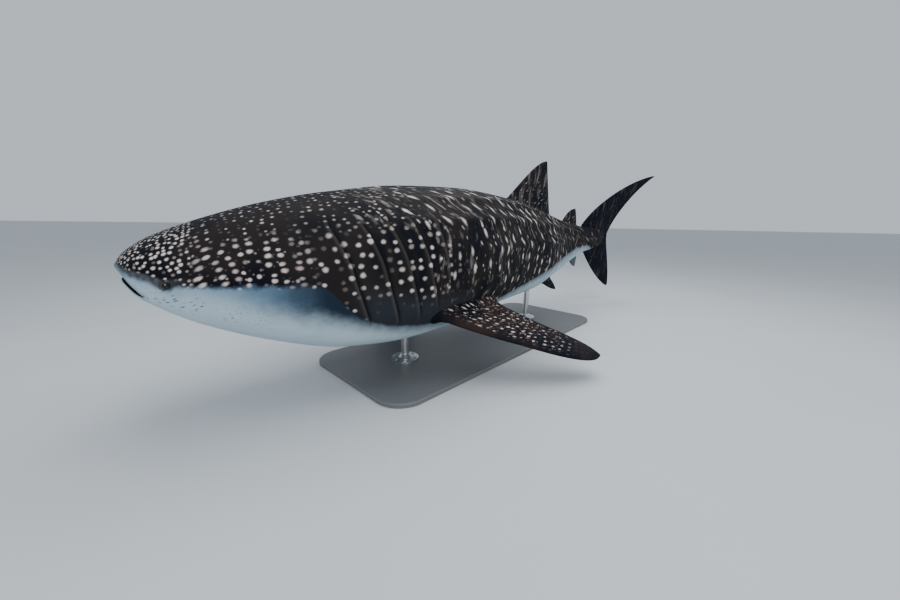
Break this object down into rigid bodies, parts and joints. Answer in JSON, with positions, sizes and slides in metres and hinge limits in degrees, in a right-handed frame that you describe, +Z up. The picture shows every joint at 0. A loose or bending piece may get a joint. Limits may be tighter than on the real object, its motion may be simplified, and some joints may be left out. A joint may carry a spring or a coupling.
{
  "type": "whale shark display model",
  "caption": "Life-size whale shark in a gently bent swimming pose, held over a flat base plate by short upright rods.",
  "frame": {"origin": "centre of the underside of the stand's base plate, on the floor", "axes": "+Z up, +X from the head towards the tail, -Y out of the shark's left side"},
  "size_m": [6.8663, 2.7148, 2.112],
  "materials": {
    "skin": "satin hide",
    "eye": "gloss",
    "stand_plate": "satin paint",
    "stand_rod": "brushed"
  },
  "bodies": {
    "root": {"head": "skin", "lower_jaw": "skin", "gill_region": "skin", "trunk": "skin", "rear_trunk": "skin", "tail_stock": "skin", "eye_left": "eye", "eye_right": "eye", "pectoral_fin_left": "skin", "pectoral_fin_right": "skin", "pelvic_fin_left": "skin", "pelvic_fin_right": "skin", "first_dorsal_fin": "skin", "second_dorsal_fin": "skin", "anal_fin": "skin", "tail_fin_upper": "skin", "tail_fin_lower": "skin", "stand_base": "stand_plate", "stand_rod_front": "stand_rod", "stand_rod_rear": "stand_rod"}
  },
  "joints": []
}
